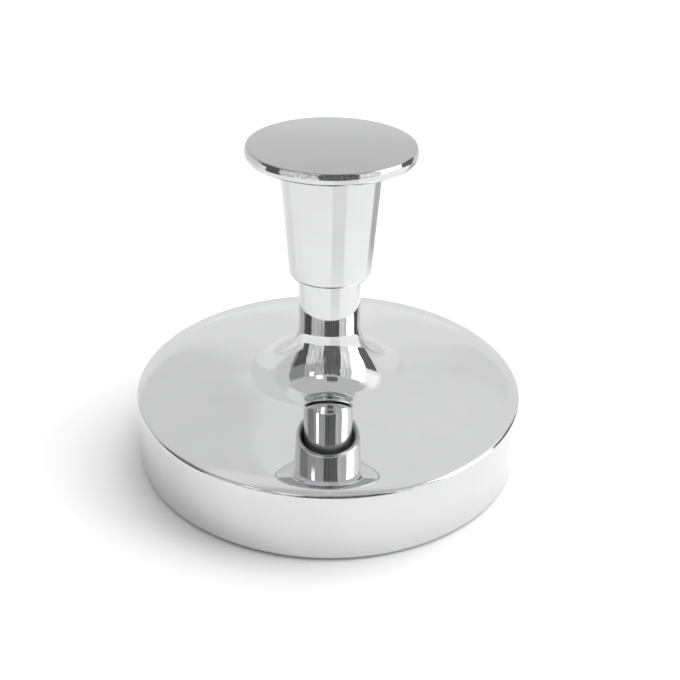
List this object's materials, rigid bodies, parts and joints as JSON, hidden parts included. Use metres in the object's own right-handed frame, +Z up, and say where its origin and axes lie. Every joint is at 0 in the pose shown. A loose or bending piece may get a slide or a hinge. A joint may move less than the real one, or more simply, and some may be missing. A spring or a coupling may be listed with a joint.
{
  "type": "security tag detacher",
  "caption": "Hand-held magnetic detacher: a heavy round polished puck with a tag well in its underside, a flared neck, and a sprung palm knob whose sleeve slides down over the neck.",
  "frame": {"origin": "centre of the circle that the foot ring stands on", "axes": "+Z up along the axis of the neck, from the foot ring to the palm knob; the object is round, so X and Y are alike, and +X points at the first cover screw"},
  "size_m": [0.1, 0.1, 0.0845],
  "materials": {
    "chrome": "bright nickel-chrome plate on a zinc casting, mirror polished",
    "nickel": "nickel-plated sintered magnet",
    "steel": "zinc-plated mild steel, satin",
    "stainless": "drawn or ground stainless steel, non-magnetic",
    "zinc": "plain casting, matt",
    "bronze": "sintered, oil-filled",
    "cover_plastic": "moulded, fine texture",
    "nylon": "turned natural nylon",
    "rubber": "moulded, matt"
  },
  "bodies": {
    "base": {"base_shell": "chrome", "bottom_cover": "cover_plastic", "foot_ring": "rubber", "tag_well": "stainless", "magnet_ring_1": "nickel", "magnet_ring_2": "nickel", "magnet_ring_3": "nickel", "pole_core": "steel", "yoke_cup": "steel", "weight_ring": "zinc", "upper_guide_bush": "bronze", "lower_guide_bush": "bronze", "cover_screw_1": "steel", "cover_screw_2": "steel", "cover_screw_3": "steel", "cover_screw_4": "steel", "cover_screw_5": "steel", "cover_screw_6": "steel", "yoke_screw_1": "steel", "yoke_screw_2": "steel", "yoke_screw_3": "steel"},
    "spring_set": {"return_spring": "stainless", "thrust_washer": "stainless"},
    "plunger": {"palm_knob": "chrome", "grip_sleeve": "chrome", "lock_washer": "steel", "clamp_nut": "steel", "spring_seat": "steel", "plunger_rod": "stainless", "stop_bumper": "rubber", "stop_ring": "steel", "ejector_pad": "nylon", "pad_screw": "stainless"}
  },
  "joints": [
    {"name": "handle_spin", "type": "hinge", "parent": "base", "child": "spring_set", "pos_m": [0, 0, 0.055], "axis": [0, 0, 1], "continuous": true},
    {"name": "plunger_press", "type": "slide", "parent": "spring_set", "child": "plunger", "axis": [0, 0, -1], "range_m": [0, 0.007], "stiffness_N_per_m": 900, "springref_m": -0.006, "deforming": ["return_spring"]}
  ]
}
